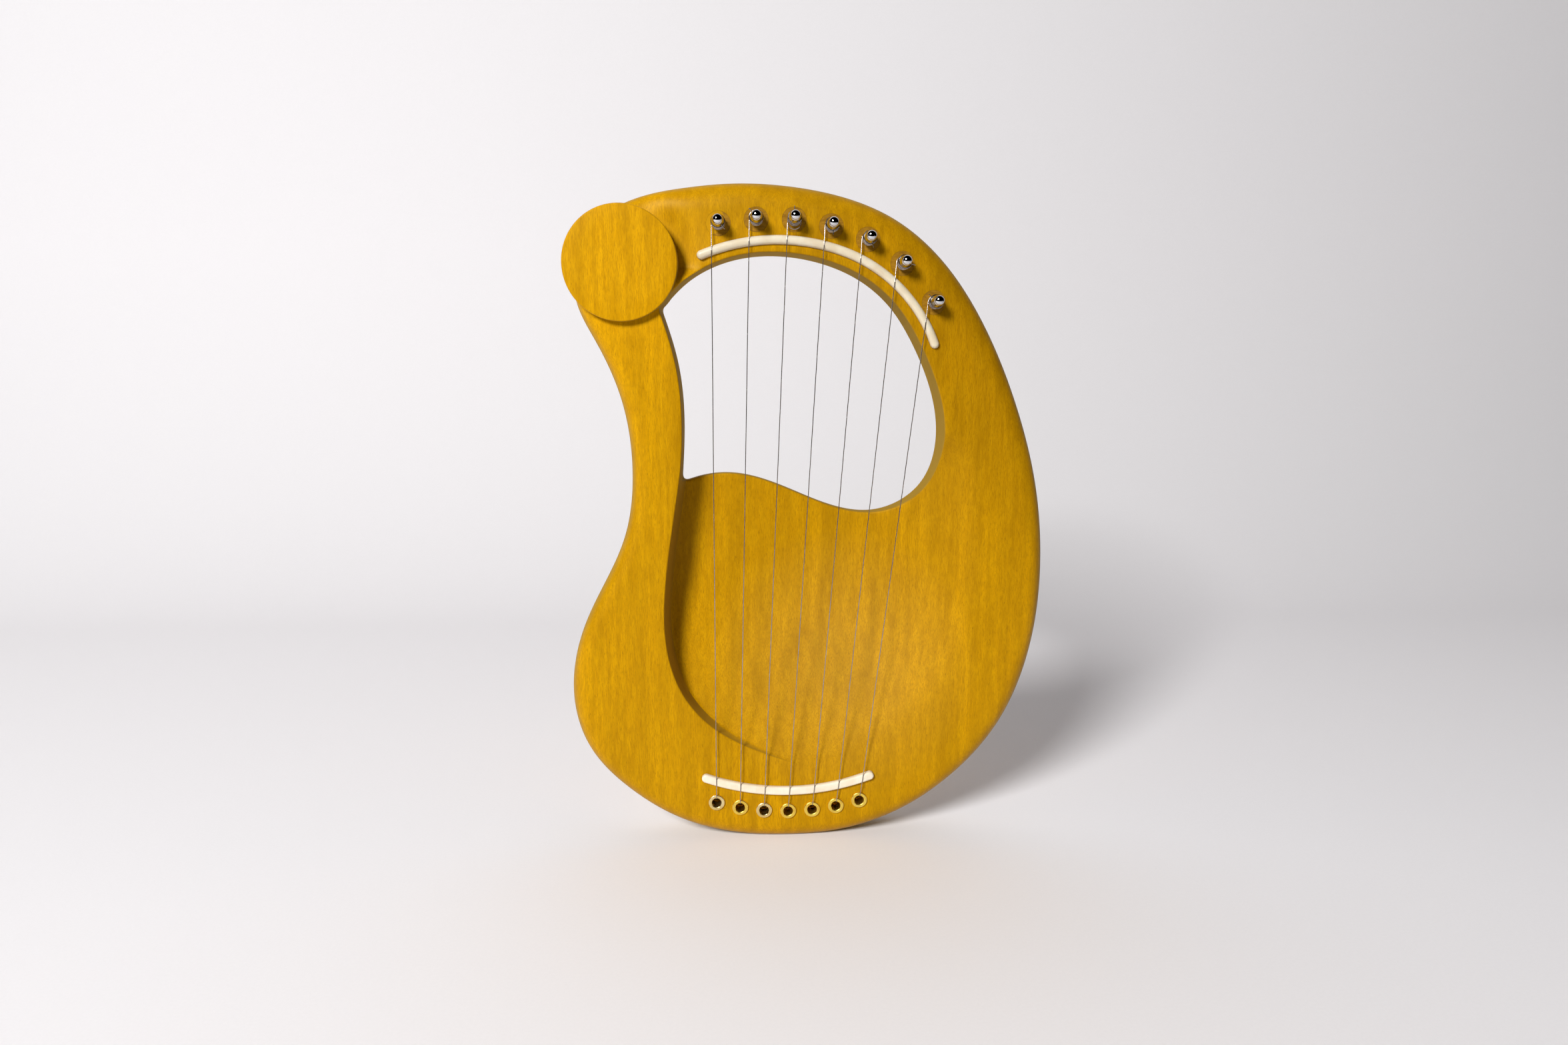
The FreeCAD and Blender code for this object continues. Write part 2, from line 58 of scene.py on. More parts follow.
# Outline of the slab, a closed curve that passes under the boss. It dips below the floor, where it is
# cut flat.
OUTLINE = [
    (-119.0, 377.0),
    (-103.5, 385.8),
    (-74.0, 392.4),
    (-43.0, 395.3),
    (-12.5, 394.0),
    (18.0, 388.6),
    (48.5, 376.8),
    (78.5, 352.7),
    (103.0, 318.0),
    (124.3, 271.6),
    (138.4, 223.4),
    (143.3, 174.0),
    (138.7, 123.3),
    (120.0, 71.6),
    (88.0, 34.2),
    (54.6, 12.4),
    (21.0, 1.6),
    (-13.0, -1.1),
    (-47.0, 1.5),
    (-80.0, 11.6),
    (-111.0, 32.0),
    (-134.0, 58.5),
    (-143.3, 97.0),
    (-133.2, 141.2),
    (-110.1, 189.9),
    (-104.4, 232.0),
    (-109.9, 272.5),
    (-124.3, 306.8),
    (-134.0, 328.0),
]

# Opening behind the strings: its arch side, its side along the left arm, and the corners between them
OPENING_ARCH = [
    (-86.6, 324.8),
    (-72.8, 339.2),
    (-45.4, 353.2),
    (-17.0, 356.2),
    (9.0, 352.0),
    (32.0, 342.2),
    (51.0, 326.2),
    (64.5, 305.6),
    (75.3, 281.2),
    (81.0, 251.0),
    (71.8, 219.2),
    (43.0, 202.6),
    (10.4, 207.6),
    (-14.1, 217.8),
    (-48.0, 226.4),
    (-66.0, 224.2),
    (-76.0, 221.0),
]
OPENING_ARM = [(-76.0, 221.0), (-74.2, 257.0), (-77.8, 295.0), (-86.6, 324.8)]
LOW_CORNER = 5.0
HIGH_CORNER = 2.5

# Round boss at the top of the left arm
BOSS_X, BOSS_Z = -107.5, 349.5
BOSS_RADIUS = 32.5
BOSS_FRONT_Y = -22.0
BOSS_ROUND = 0.8

# Arch and right arm: carved lower than the left arm, and sloping outward
ARCH_X, ARCH_Z = -18.3, 262.6
ARCH_RADIUS = 93.8
ARCH_DROP = 3.0
ARCH_SLOPE = 0.05
ARCH_FADE_FROM_Z, ARCH_FADE_HEIGHT = 120.0, 150.0
LEFT_ARM_EDGE_X, LEFT_ARM_FADE = -74.0, 14.0
BOSS_FADE_FROM_Z, BOSS_FADE_HEIGHT = 338.0, 10.0
BOSS_DIP, BOSS_DIP_WIDTH = 3.5, 11.0

# Hollow: a bowl to the right of a step that climbs along the left arm
PLATE_THICKNESS = 7.3
HOLLOW_X, HOLLOW_Z, HOLLOW_TOP_Z = 0.0, 180.0, 226.0
HOLLOW_REACH_X, HOLLOW_REACH_DOWN, HOLLOW_REACH_UP = 104.0, 130.0, 45.0
RIM_EASE, RIM_EASE_MORE, RIM_EASE_WIDTH = 0.8, 3.0, 50.0
STEP = [
    (10.0, 44.0),
    (-14.6, 51.4),
    (-32.4, 58.2),
    (-57.4, 72.3),
    (-76.6, 95.0),
    (-85.6, 125.0),
    (-86.0, 155.0),
    (-81.5, 192.0),
    (-76.2, 226.0),
    (-73.0, 250.0),
]

# Spacing of the body mesh's points, and how near to a line's own points a grid's point may lie
LOOP_SPACING = 1.6
FINE_LOOP_SPACING = LOOP_SPACING * 0.7
GRID_SPACING = 2.6
GRID_CLEAR = GRID_SPACING * 0.6
WALL_SPACING = 4.0
GRID_HALF_WIDTH, GRID_TOP_Z = 146, 400
OUTLINE_RINGS, OPENING_RINGS = 9, 3

# Lines of points along the step: over its rounded edge, then down its wall and across its fillet
STEP_LINES = [-STEP_ROUND, -0.6 * STEP_ROUND, -0.2 * STEP_ROUND, 0.0, 0.8, 1.6, 2.4, 3.2, 4.0]

# Saddles
SADDLE_WIDTH = 5.2
SADDLE_HEIGHT = 6.0
GROOVE_GAP = 0.12
STRING_ARC_X, STRING_ARC_Z = -12.3, 178.0
LOWER_SADDLE_RADIUS = 146.2
LOWER_SADDLE_HALF_ANGLE = 20.2
LOWER_SADDLE_TOP_Y = FRONT_Y - 2.6
UPPER_SADDLE_LEFT = (-18.3, 248.4, 114.7)
UPPER_SADDLE_RIGHT_RADIUS = 89.4
UPPER_SADDLE_ANGLES = (112.3, 71.3, 21.0)
UPPER_SADDLE_TOP_Y = FRONT_Y + 0.5
UPPER_SADDLE_ROUND = 2.45
LOWER_SADDLE_ROUND = 1.3

# Tuning pins, and the wire that goes round with them
PIN_RADIUS = 3.5
PIN_HEIGHT = 15.0
PIN_BACK = -41.0
HEAD_RADIUS = 3.1
NECK_FROM, NECK_TO = 9.6, 11.2
SQUARE_TOP = -31.0
SHANK_FROM = -30.7
SQUARE_HALF = 2.6
SQUARE_CHAMFER = 0.5
WIRE_RADIUS = 0.25
WIRE_REACH = PIN_RADIUS + WIRE_RADIUS + 0.02
WINDING_FROM, WINDING_TO = 3.0, 7.5
WINDING_START = 300.0
WINDING_TURNS = [4.3, 3.8, 3.9, 4.4, 4.35, 4.2, 3.75]
WINDING_STEPS = 40

# How far each winding stands off its pin, and how its turns waver between their tight ends
WINDING_SLACK = [0.15, 0.35, 0.25, 0.3, 0.2, 0.3, 0.25]
WINDING_WAVER = 0.22
WINDING_SWELL = 1.6
WINDING_ENDS = 6

# The third winding has one loose loop
LOOSE_LOOP = {3: 2.7}
LOOSE_LOOP_FROM = 0.35

# The wire's way through its pin, and its cut end
THROUGH_PIN = (3.2, 1.5, 0, -2, -4)
TAIL = 2.4

# Eyelets: a rolled rim round a barrel
EYELET_BORE, EYELET_OUTER, EYELET_BARREL = 2.85, 5.0, 3.5
EYELET_RIM = 1.15
EYELET_BOXINESS = 0.5
EYELET_END_Y = -9.0
PALE_EYELETS = (1, 3)

# Holes; the drills reach FAR past the body's middle
STRING_COUNT = 7
PLUG_RADIUS = 7.08
BARREL_RADIUS, BARREL_END_Y = 3.55, -9.0
STRING_HOLE_RADIUS = 2.5
CUP_RADIUS, CUP_START_Y = 4.55, 9.0
FAR = 60.0

# Where a faint pale sheen is painted into the bowl's colour, standing in for a glossy reflection on its upward
# slope
BOWL_PAINTED_SHEEN = (22.0, 0.0, 108.0)

# Where the wood is made darkest, towards the arch's right end, and where it is made palest, at the boss
DARKEST_PLACE = (125.0, 0.0, 340.0)
PALEST_PLACE = (BOSS_X, BOSS_FRONT_Y, BOSS_Z)

# Colours of the stained wood, and the tints that make it darker towards the arch's right and paler round the boss
WOOD_DARK = (0.455, 0.220, 0.0006, 1)
WOOD_LIGHT = (0.620, 0.305, 0.0007, 1)
WOOD_LINE = (0.400, 0.190, 0.0008, 1)
WOOD_MOTTLE = (0.700, 0.372, 0.0007, 1)
WOOD_BROAD = (0.430, 0.218, 0.0010, 1)
WOOD_FIBRE = (0.330, 0.150, 0.0010, 1)
WOOD_PORE = (0.200, 0.085, 0.0020, 1)
DEEP_TINT = (0.775, 0.757, 1.2, 1)
PALE_TINT = (1.17, 1.16, 1.0, 1)
# Painted sheen: a pale colour laid faintly over the bowl
PAINTED_SHEEN = (0.50, 0.42, 0.32, 1)
# Painted shade: olive laid over steep faces, roundovers and walls
OLIVE_SHADE = (0.330, 0.205, 0.022, 1)


# ---------------------------------------------------------------- curves in the plan (x, z)


def second_derivatives(t, knots, closed):
    """Second derivatives of the cubic spline through the knots, at the knots."""
    count = len(knots)
    gap = np.diff(t)
    slope = np.diff(knots, axis=0) / gap[:, None]
    matrix = np.zeros((count, count))
    right = np.zeros((count, 2))
    for i in range(1, count - 1):
        matrix[i, i - 1 : i + 2] = gap[i - 1], 2 * (gap[i - 1] + gap[i]), gap[i]
        right[i] = 6 * (slope[i] - slope[i - 1])
    if closed:
        matrix[0, 0], matrix[0, 1], matrix[0, -2] = 2 * (gap[-1] + gap[0]), gap[0], gap[-1]
        right[0] = 6 * (slope[0] - slope[-1])
        matrix[-1, 0], matrix[-1, -1] = 1, -1
    else:
        matrix[0, 0] = matrix[-1, -1] = 1
    return np.linalg.solve(matrix, right)


def spline(points, spacing, closed=False):
    """Evenly spaced points on the cubic spline through some points."""
    knots = np.array(points, float)
    if closed:
        knots = np.vstack([knots, knots[:1]])
    gap = np.linalg.norm(np.diff(knots, axis=0), axis=1)
    t = np.concatenate([[0], np.cumsum(gap)])
    second = second_derivatives(t, knots, closed)
    fine = np.linspace(0, t[-1], round(t[-1] / spacing) + 1)
    i = np.clip(np.searchsorted(t, fine, side="right") - 1, 0, len(gap) - 1)
    h = gap[i][:, None]
    a = (t[i + 1] - fine)[:, None] / h
    b = 1 - a
    bend = ((a**3 - a) * second[i] + (b**3 - b) * second[i + 1]) * h**2 / 6
    curve = a * knots[i] + b * knots[i + 1] + bend
    return curve[:-1] if closed else curve


def resampled(line, spacing):
    """The same line with even spacing, its first and last points kept."""
    t = np.concatenate([[0], np.cumsum(np.linalg.norm(np.diff(line, axis=0), axis=1))])
    even = np.linspace(0, t[-1], round(t[-1] / spacing) + 1)
    return np.stack([np.interp(even, t, line[:, k]) for k in (0, 1)], axis=1)


def trimmed(line, length):
    """The line without the stretch of that length at its start."""
    t = np.concatenate([[0], np.cumsum(np.linalg.norm(np.diff(line, axis=0), axis=1))])
    start = [np.interp(length, t, line[:, k]) for k in (0, 1)]
    return np.vstack([[start], line[t > length]])


def joined(first, second, trim):
    """Two lines joined by a round corner that starts a trim's length from their meeting."""
    corner = first[-1]
    before = trimmed(first[::-1], trim)[::-1]
    after = trimmed(second, trim)
    t = np.linspace(0, 1, 9)[1:-1, None]
    bend = (1 - t) ** 2 * before[-1] + 2 * t * (1 - t) * corner + t**2 * after[0]
    return np.vstack([before, bend, after])


def opening_loop():
    """The opening's outline, with the wood to the right of its direction."""
    fine = 0.4
    arch, arm = spline(OPENING_ARCH, fine), spline(OPENING_ARM, fine)
    middle = len(arch) // 2
    loop = joined(arch[middle:], arm, LOW_CORNER)
    loop = joined(loop, arch[: middle + 1], HIGH_CORNER)
    return resampled(loop, FINE_LOOP_SPACING)[:0:-1]


def offset(line, distance, closed):
    """The line moved sideways, to the right of its direction."""
    if closed:
        along = np.roll(line, -1, axis=0) - np.roll(line, 1, axis=0)
    else:
        along = np.gradient(line, axis=0)
    along = along / np.linalg.norm(along, axis=1)[:, None]
    right = np.stack([along[:, 1], -along[:, 0]], axis=1)
    return line + right * distance


def signed_distance(points, line, closed=False):
    """Distance from each point to a line, above zero to the right of the line's direction."""
    start = line if closed else line[:-1]
    end = np.roll(line, -1, axis=0) if closed else line[1:]
    along = end - start
    square = (along**2).sum(1)
    result = np.empty(len(points))
    at_once = 2000
    for first in range(0, len(points), at_once):
        part = points[first : first + at_once]
        way = part[:, None, :] - start[None]
        t = np.clip((way * along).sum(2) / square, 0, 1)
        apart = np.linalg.norm(way - t[:, :, None] * along, axis=2)
        nearest = apart.argmin(1)
        rows = np.arange(len(part))
        near_way, near_along = way[rows, nearest], along[nearest]
        left = near_along[:, 0] * near_way[:, 1] - near_along[:, 1] * near_way[:, 0]
        result[first : first + at_once] = np.where(left > 0, -1, 1) * apart[rows, nearest]
    return result


# ---------------------------------------------------------------- heights of the body's surfaces


def smooth_step(t):
    """0 below 0, 1 above 1, and an easy rise between."""
    t = np.clip(t, 0, 1)
    return t * t * (3 - 2 * t)


def arch_level(x, z):
    """0 on the left arm and foot, 1 on the arch and right arm; with it, the share above the boss."""
    level = smooth_step((z - ARCH_FADE_FROM_Z) / ARCH_FADE_HEIGHT)
    beside_arm = smooth_step((x - LEFT_ARM_EDGE_X) / LEFT_ARM_FADE)
    above_boss = smooth_step((z - BOSS_FADE_FROM_Z) / BOSS_FADE_HEIGHT)
    return level * np.maximum(beside_arm, above_boss), above_boss


def face_y(x, z):
    """Front face before the hollow and the edges."""
    level, above_boss = arch_level(x, z)
    outward = np.hypot(x - ARCH_X, z - ARCH_Z) - ARCH_RADIUS
    from_boss = np.hypot(x - BOSS_X, z - BOSS_Z) - BOSS_RADIUS
    dip = BOSS_DIP * np.exp(-((from_boss / BOSS_DIP_WIDTH) ** 2)) * above_boss
    return FRONT_Y + level * (ARCH_DROP + ARCH_SLOPE * np.maximum(0, outward) + dip)


def hollow_depth(x, z):
    """How far the hollow's floor lies behind the face, easing to nothing at the bowl's rim."""
    across = np.maximum(0, x - HOLLOW_X) / HOLLOW_REACH_X
    down = np.maximum(0, HOLLOW_Z - z) / HOLLOW_REACH_DOWN
    up = np.maximum(0, z - HOLLOW_TOP_Z) / HOLLOW_REACH_UP
    rise = across**2 + down**2 + up**2
    depth = BACK_Y - PLATE_THICKNESS - (BACK_Y - FRONT_Y - PLATE_THICKNESS) * rise - face_y(x, z)
    ease = RIM_EASE + RIM_EASE_MORE * smooth_step(x / RIM_EASE_WIDTH)
    return (depth + np.sqrt(depth**2 + ease**2)) / 2


def edge_drop(distance, width, depth):
    """Quarter-ellipse roundover: depth at the edge, nothing from width inward."""
    t = np.clip((width - distance) / width, 0, 1)
    return depth * (1 - np.sqrt(1 - t * t))


def step_profile(distance, depth):
    """Depth across the step: a rounded top edge, a wall that leans a little, a fillet at its foot."""
    top = np.minimum(STEP_ROUND, STEP_ROUND_SHARE * depth)
    foot = np.minimum(STEP_FILLET, STEP_ROUND_SHARE * depth)
    wall = STEP_WALL_LEAST + STEP_DRAFT * depth
    on_top = edge_drop(-distance, top, top)
    on_wall = top + (depth - top - foot) * np.clip(distance / wall, 0, 1)
    past = np.clip((distance - wall) / foot, 0, 1)
    on_foot = depth - foot + foot * np.sqrt(1 - (1 - past) ** 2)
    return np.where(distance < 0, on_top, np.where(distance < wall, on_wall, on_foot))


def front_heights(plan, outline, opening, step):
    """Front surface's Y at each point of the plan."""
    x, z = plan[:, 0], plan[:, 1]
    level, _ = arch_level(x, z)
    width = ROUND_WIDTH + (ARCH_ROUND_WIDTH - ROUND_WIDTH) * level
    depth = ROUND_DEPTH + (ARCH_ROUND_DEPTH - ROUND_DEPTH) * level
    y = face_y(x, z) + step_profile(signed_distance(plan, step), hollow_depth(x, z))
    y += edge_drop(signed_distance(plan, outline, closed=True), width, depth)
    return y + edge_drop(signed_distance(plan, opening, closed=True), OPENING_ROUND, OPENING_ROUND)


def back_heights(plan, outline, opening):
    """Back surface's Y at each point of the plan."""
    y = BACK_Y - edge_drop(signed_distance(plan, outline, closed=True), BACK_ROUND, BACK_ROUND)
    return y - edge_drop(signed_distance(plan, opening, closed=True), OPENING_ROUND, OPENING_ROUND)


# ---------------------------------------------------------------- meshes


def new_object(name, mesh):
    """Adds an object with that mesh to the scene."""
    piece = bpy.data.objects.new(name, mesh)
    bpy.context.scene.collection.objects.link(piece)
    return piece


def mesh_from(name, vertices, faces):
    """Mesh from points in millimetres."""
    mesh = bpy.data.meshes.new(name)
    mesh.from_pydata([tuple(c * MM for c in v) for v in vertices], [], faces)
    mesh.validate()
    made = bmesh.new()
    made.from_mesh(mesh)
    bmesh.ops.recalc_face_normals(made, faces=made.faces)
    made.to_mesh(mesh)
    made.free()
    return mesh


def ring_shares(count):
    """Shares of a roundover's width, close together where it is steep."""
    return [1 - math.cos(math.pi / 2 * k / count) for k in range(count + 1)]


def body_plan():
    """The body's plan as triangles: points and faces, with its three guiding lines."""
    outline = spline(OUTLINE, LOOP_SPACING, closed=True)
    opening = opening_loop()
    step = spline(STEP, FINE_LOOP_SPACING)
    outline_rings = [ARCH_ROUND_WIDTH * share for share in ring_shares(OUTLINE_RINGS)[1:]]
    opening_rings = [OPENING_ROUND * share for share in ring_shares(OPENING_RINGS)[1:]]
    lines = [(outline, True), (opening, True)]
    lines += [(offset(outline, distance, True), True) for distance in outline_rings]
    lines += [(offset(opening, distance, True), True) for distance in opening_rings]
    lines += [(offset(step, distance, False), False) for distance in STEP_LINES]
    points, edges = [], []
    for line, closed in lines:
        first, count = len(points), len(line)
        points += line.tolist()
        edges += [(first + k, first + k + 1) for k in range(count - 1)]
        if closed:
            edges.append((first + count - 1, first))
    points += grid_points(np.array(points)).tolist()
    plan, _, faces, _, _, _ = delaunay_2d_cdt([Vector(p) for p in points], edges, [], 0, 1e-5)
    plan = np.array(plan)
    faces = np.array(faces)
    centres = plan[faces].mean(1)
    inside = signed_distance(centres, outline, closed=True) > 0
    outside = signed_distance(centres, opening, closed=True) > 0
    return plan, faces[inside & outside], outline, opening, step


def grid_points(taken):
    """Points in staggered rows over the body, away from the lines' own points."""
    rows = []
    for j, z in enumerate(np.arange(0, GRID_TOP_Z, GRID_SPACING * math.sqrt(3) / 2)):
        x = np.arange(-GRID_HALF_WIDTH, GRID_HALF_WIDTH, GRID_SPACING) + (j % 2) * GRID_SPACING / 2
        rows.append(np.stack([x, np.full(len(x), z)], axis=1))
    points = np.vstack(rows)
    cells = {}
    for p in taken:
        cells.setdefault((int(p[0] // GRID_SPACING), int(p[1] // GRID_SPACING)), []).append(p)
    kept = []
    for p in points:
        i, j = int(p[0] // GRID_SPACING), int(p[1] // GRID_SPACING)
        near = [q for a in (-1, 0, 1) for b in (-1, 0, 1) for q in cells.get((i + a, j + b), [])]
        if all(abs(q[0] - p[0]) + abs(q[1] - p[1]) > GRID_CLEAR for q in near):
            kept.append(p)
    return np.array(kept)


def slab_mesh():
    """Front and back sheets over the same plan, joined by walls round the outline and the opening."""
    plan, faces, outline, opening, step = body_plan()
    front = front_heights(plan, outline, opening, step)
    back = back_heights(plan, outline, opening)
    count = len(plan)
    heights = np.maximum(plan[:, 1], 0)
    vertices = list(zip(plan[:, 0], front, heights)) + list(zip(plan[:, 0], back, heights))
    polygons = faces.tolist() + (faces[:, ::-1] + count).tolist()
    edges = {}
    for face in faces:
        for a, b in zip(face, np.roll(face, -1)):
            edges[(int(a), int(b))] = True
    border = [(a, b) for a, b in edges if (b, a) not in edges]
    columns = {}
    levels = max(2, round((BACK_Y - FRONT_Y) / WALL_SPACING))
    for a, _ in border:
        columns[a] = [a]
        for k in range(1, levels):
            y = front[a] + (back[a] - front[a]) * k / levels
            columns[a].append(len(vertices))
            vertices.append((plan[a][0], y, heights[a]))
        columns[a].append(a + count)
    for a, b in border:
        for k in range(levels):
            polygons.append([columns[b][k], columns[a][k], columns[a][k + 1], columns[b][k + 1]])
    used = sorted({i for polygon in polygons for i in polygon})
    renumber = {old: new for new, old in enumerate(used)}
    polygons = [[renumber[i] for i in polygon] for polygon in polygons]
    return mesh_from("slab", [vertices[i] for i in used], polygons)


def arc(radius, centre, angle_from, angle_to, count):
    """Points (a, b) on an arc, in degrees."""
    angles = np.radians(np.linspace(angle_from, angle_to, count + 1))
    return [(centre[0] + radius * math.cos(t), centre[1] + radius * math.sin(t)) for t in angles]


def full_turn(count):
    """Evenly spaced angles round a circle."""
    return [2 * math.pi * k / count for k in range(count)]


def lathe(name, profile, segments):
    """Closed solid turned about Z from (radius, height) points; a radius of 0 is a pole."""
    vertices, rings, faces = [], [], []
    for radius, height in profile:
        if radius < 1e-9:
            rings.append([len(vertices)])
            vertices.append((0, 0, height))
            continue
        rings.append(list(range(len(vertices), len(vertices) + segments)))
        vertices += [(radius * math.cos(t), radius * math.sin(t), height) for t in full_turn(segments)]
    for low, high in zip(rings, rings[1:]):
        for k in range(segments):
            after = (k + 1) % segments
            if len(low) == 1:
                faces.append([low[0], high[k], high[after]])
            elif len(high) == 1:
                faces.append([low[k], low[after], high[0]])
            else:
                faces.append([low[k], low[after], high[after], high[k]])
    return mesh_from(name, vertices, faces)


def placed(mesh, origin, direction):
    """Turns a mesh made about Z so that its Z points along direction from origin (millimetres)."""
    turn = Vector(direction).to_track_quat("Z", "Y").to_matrix().to_4x4()
    mesh.transform(Matrix.Translation(Vector(origin) * MM) @ turn)
    return mesh


def boss_mesh():
    """Cylinder with rounded edges; a ring inside each flat end keeps its shading even."""
    depth = BACK_Y - BOSS_FRONT_Y
    back_inset, front_inset = 8, 10
    profile = [(0, 0), (BOSS_RADIUS - BACK_ROUND - back_inset, 0)]
    profile += arc(BACK_ROUND, (BOSS_RADIUS - BACK_ROUND, BACK_ROUND), -90, 0, 8)
    profile += [(BOSS_RADIUS, depth / 2)]
    profile += arc(BOSS_ROUND, (BOSS_RADIUS - BOSS_ROUND, depth - BOSS_ROUND), 0, 90, 6)
    profile += [(BOSS_RADIUS - front_inset, depth), (0, depth)]
    return placed(lathe("boss", profile, 160), (BOSS_X, BACK_Y, BOSS_Z), (0, -1, 0))


def cylinder(name, start, direction, radius, length, segments=64):
    """Closed round bar from a start along a direction."""
    profile = [(0, 0), (radius, 0), (radius, length), (0, length)]
    return placed(lathe(name, profile, segments), start, direction)


def prism(name, loop, y_from, y_to):
    """Closed solid from a plan loop, between two heights."""
    count = len(loop)
    vertices = [(x, y_from, z) for x, z in loop] + [(x, y_to, z) for x, z in loop]
    sides = [[k, (k + 1) % count, (k + 1) % count + count, k + count] for k in range(count)]
    ends = [list(range(count)), list(range(2 * count - 1, count - 1, -1))]
    return mesh_from(name, vertices, sides + ends)


def band_loop(arcs, half):
    """Loop round a strip along arcs, each (centre x, centre z, radius, angle from, angle to)."""
    outer, inner = [], []
    for x, z, radius, start, end in arcs:
        outer += arc(radius + half, (x, z), start, end, 40)
        inner += arc(radius - half, (x, z), start, end, 40)
    loop = []
    for side, other in ((outer, inner), (inner[::-1], outer[::-1])):
        loop += side
        centre = (np.array(side[-1]) + np.array(other[-1])) / 2
        along = np.array(side[-1]) - np.array(side[-2])
        along /= np.linalg.norm(along)
        across = (np.array(side[-1]) - centre) / half
        for t in np.radians(np.linspace(0, 180, 13)[1:-1]):
            loop.append(tuple(centre + half * (across * math.cos(t) + along * math.sin(t))))
    kept = [loop[0]]
    for point in loop[1:]:
        if math.dist(point, kept[-1]) > 1e-3:
            kept.append(point)
    return kept


def upper_band(half):
    """Loop round the upper saddle, which bends more tightly past its join."""
    x, z, radius = UPPER_SADDLE_LEFT
    start, join, end = UPPER_SADDLE_ANGLES
    reach = radius - UPPER_SADDLE_RIGHT_RADIUS
    right_x = x + reach * math.cos(math.radians(join))
    right_z = z + reach * math.sin(math.radians(join))
    left = (x, z, radius, start, join)
    return band_loop([left, (right_x, right_z, UPPER_SADDLE_RIGHT_RADIUS, join, end)], half)


def lower_band(half):
    """Loop round the lower saddle, which bends about the strings' own centre."""
    start, end = -90 - LOWER_SADDLE_HALF_ANGLE, -90 + LOWER_SADDLE_HALF_ANGLE
    return band_loop([(STRING_ARC_X, STRING_ARC_Z, LOWER_SADDLE_RADIUS, start, end)], half)


def centre_of(node):
    """Middle of a CAD node's box, in millimetres."""
    low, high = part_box(node)
    return (low + high) / 2 / MM


def hole_cutters(pins):
    """Everything that the body is drilled and grooved for."""
    half = SADDLE_WIDTH / 2 + GROOVE_GAP
    cutters = [
        prism("upper_groove", upper_band(half), -FAR, UPPER_SADDLE_TOP_Y + SADDLE_HEIGHT),
        prism("lower_groove", lower_band(half), -FAR, LOWER_SADDLE_TOP_Y + SADDLE_HEIGHT),
    ]
    for pin in pins:
        start = pin["foot"] - pin["axis"] * FAR
        cutters.append(cylinder("plug_hole", start, pin["axis"], PLUG_RADIUS, 2 * FAR))
    for number in range(1, STRING_COUNT + 1):
        centre = centre_of(f"front_eyelet_{number}")
        x, z = centre.x, centre.z
        profile = [
            (0, -FAR),
            (BARREL_RADIUS, -FAR),
            (BARREL_RADIUS, BARREL_END_Y),
            (STRING_HOLE_RADIUS, BARREL_END_Y),
            (STRING_HOLE_RADIUS, CUP_START_Y),
            (CUP_RADIUS, CUP_START_Y),
            (CUP_RADIUS, FAR),
            (0, FAR),
        ]
        cutters.append(placed(lathe("string_hole", profile, 48), (x, 0, z), (0, 1, 0)))
    return cutters


def joined_mesh(name, meshes):
    """Several meshes as one."""
    made = bmesh.new()
    for mesh in meshes:
        made.from_mesh(mesh)
    mesh = bpy.data.meshes.new(name)
    made.to_mesh(mesh)
    made.free()
    return mesh


def with_boolean(target, operation, mesh):
    """The target's mesh after an exact Boolean with another mesh."""
    tool = new_object("tool", mesh)
    modifier = target.modifiers.new("cut", "BOOLEAN")
    modifier.operation, modifier.solver, modifier.object = operation, "EXACT", tool
    graph = bpy.context.evaluated_depsgraph_get()
    result = bpy.data.meshes.new_from_object(target.evaluated_get(graph))
    target.modifiers.clear()
    target.data = result
    bpy.data.objects.remove(tool)


def smooth(mesh, angle=35):
    """Smooth shading, with edges that turn by more than the angle left sharp."""
    mesh.shade_smooth()
    mesh.set_sharp_from_angle(angle=math.radians(angle))


def make_body(pins):
    """The carved body: slab and boss in one, drilled and grooved."""
    piece = new_object("body_wood", slab_mesh())
    with_boolean(piece, "UNION", boss_mesh())
    with_boolean(piece, "DIFFERENCE", joined_mesh("holes", hole_cutters(pins)))
    smooth(piece.data)
    piece.data.materials.clear()
    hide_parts("body")
    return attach(piece, "lyre")


def lofted(name, loops):
    """Closed solid over loops of equally many points, with flat ends."""
    count = len(loops[0])
    vertices = [point for loop in loops for point in loop]
    faces = [list(range(count)), list(range(len(vertices) - 1, len(vertices) - count - 1, -1))]
    for level in range(len(loops) - 1):
        for k in range(count):
            a, b = level * count + k, level * count + (k + 1) % count
            faces.append([a, b, b + count, a + count])
    return mesh_from(name, vertices, faces)


def saddle_mesh(name, band, top_y, edge_round):
    """Strip of bone let into its groove, its front edges rounded."""
    half = SADDLE_WIDTH / 2
    under_round = top_y + edge_round
    levels = [(half, top_y + SADDLE_HEIGHT), (half, under_round + 1.0)]
    levels += arc(edge_round, (half - edge_round, under_round), 0, -90, 10)
    return lofted(name, [[(x, y, z) for x, z in band(reach)] for reach, y in levels])


def square_reach(t):
    """From a pin's axis to its square, whose corners are as round as the shank."""
    return min(PIN_RADIUS, SQUARE_HALF / max(abs(math.cos(t)), abs(math.sin(t))))


def pin_mesh():
    """Tuning pin about Z: a square for the key, a round shank, and a domed end."""
    turns = full_turn(64)
    rings = []
    for height, shrink in ((PIN_BACK, SQUARE_CHAMFER), (PIN_BACK + SQUARE_CHAMFER, 0), (SQUARE_TOP, 0)):
        reach = [square_reach(t) - shrink for t in turns]
        rings.append([(r * math.cos(t), r * math.sin(t), height) for r, t in zip(reach, turns)])
    profile = [(PIN_RADIUS, SHANK_FROM), (PIN_RADIUS, NECK_FROM), (HEAD_RADIUS, NECK_TO)]
    profile += arc(HEAD_RADIUS, (0, PIN_HEIGHT - HEAD_RADIUS), 0, 88, 18)
    rings += [[(r * math.cos(t), r * math.sin(t), height) for t in turns] for r, height in profile]
    return lofted("pin", rings)


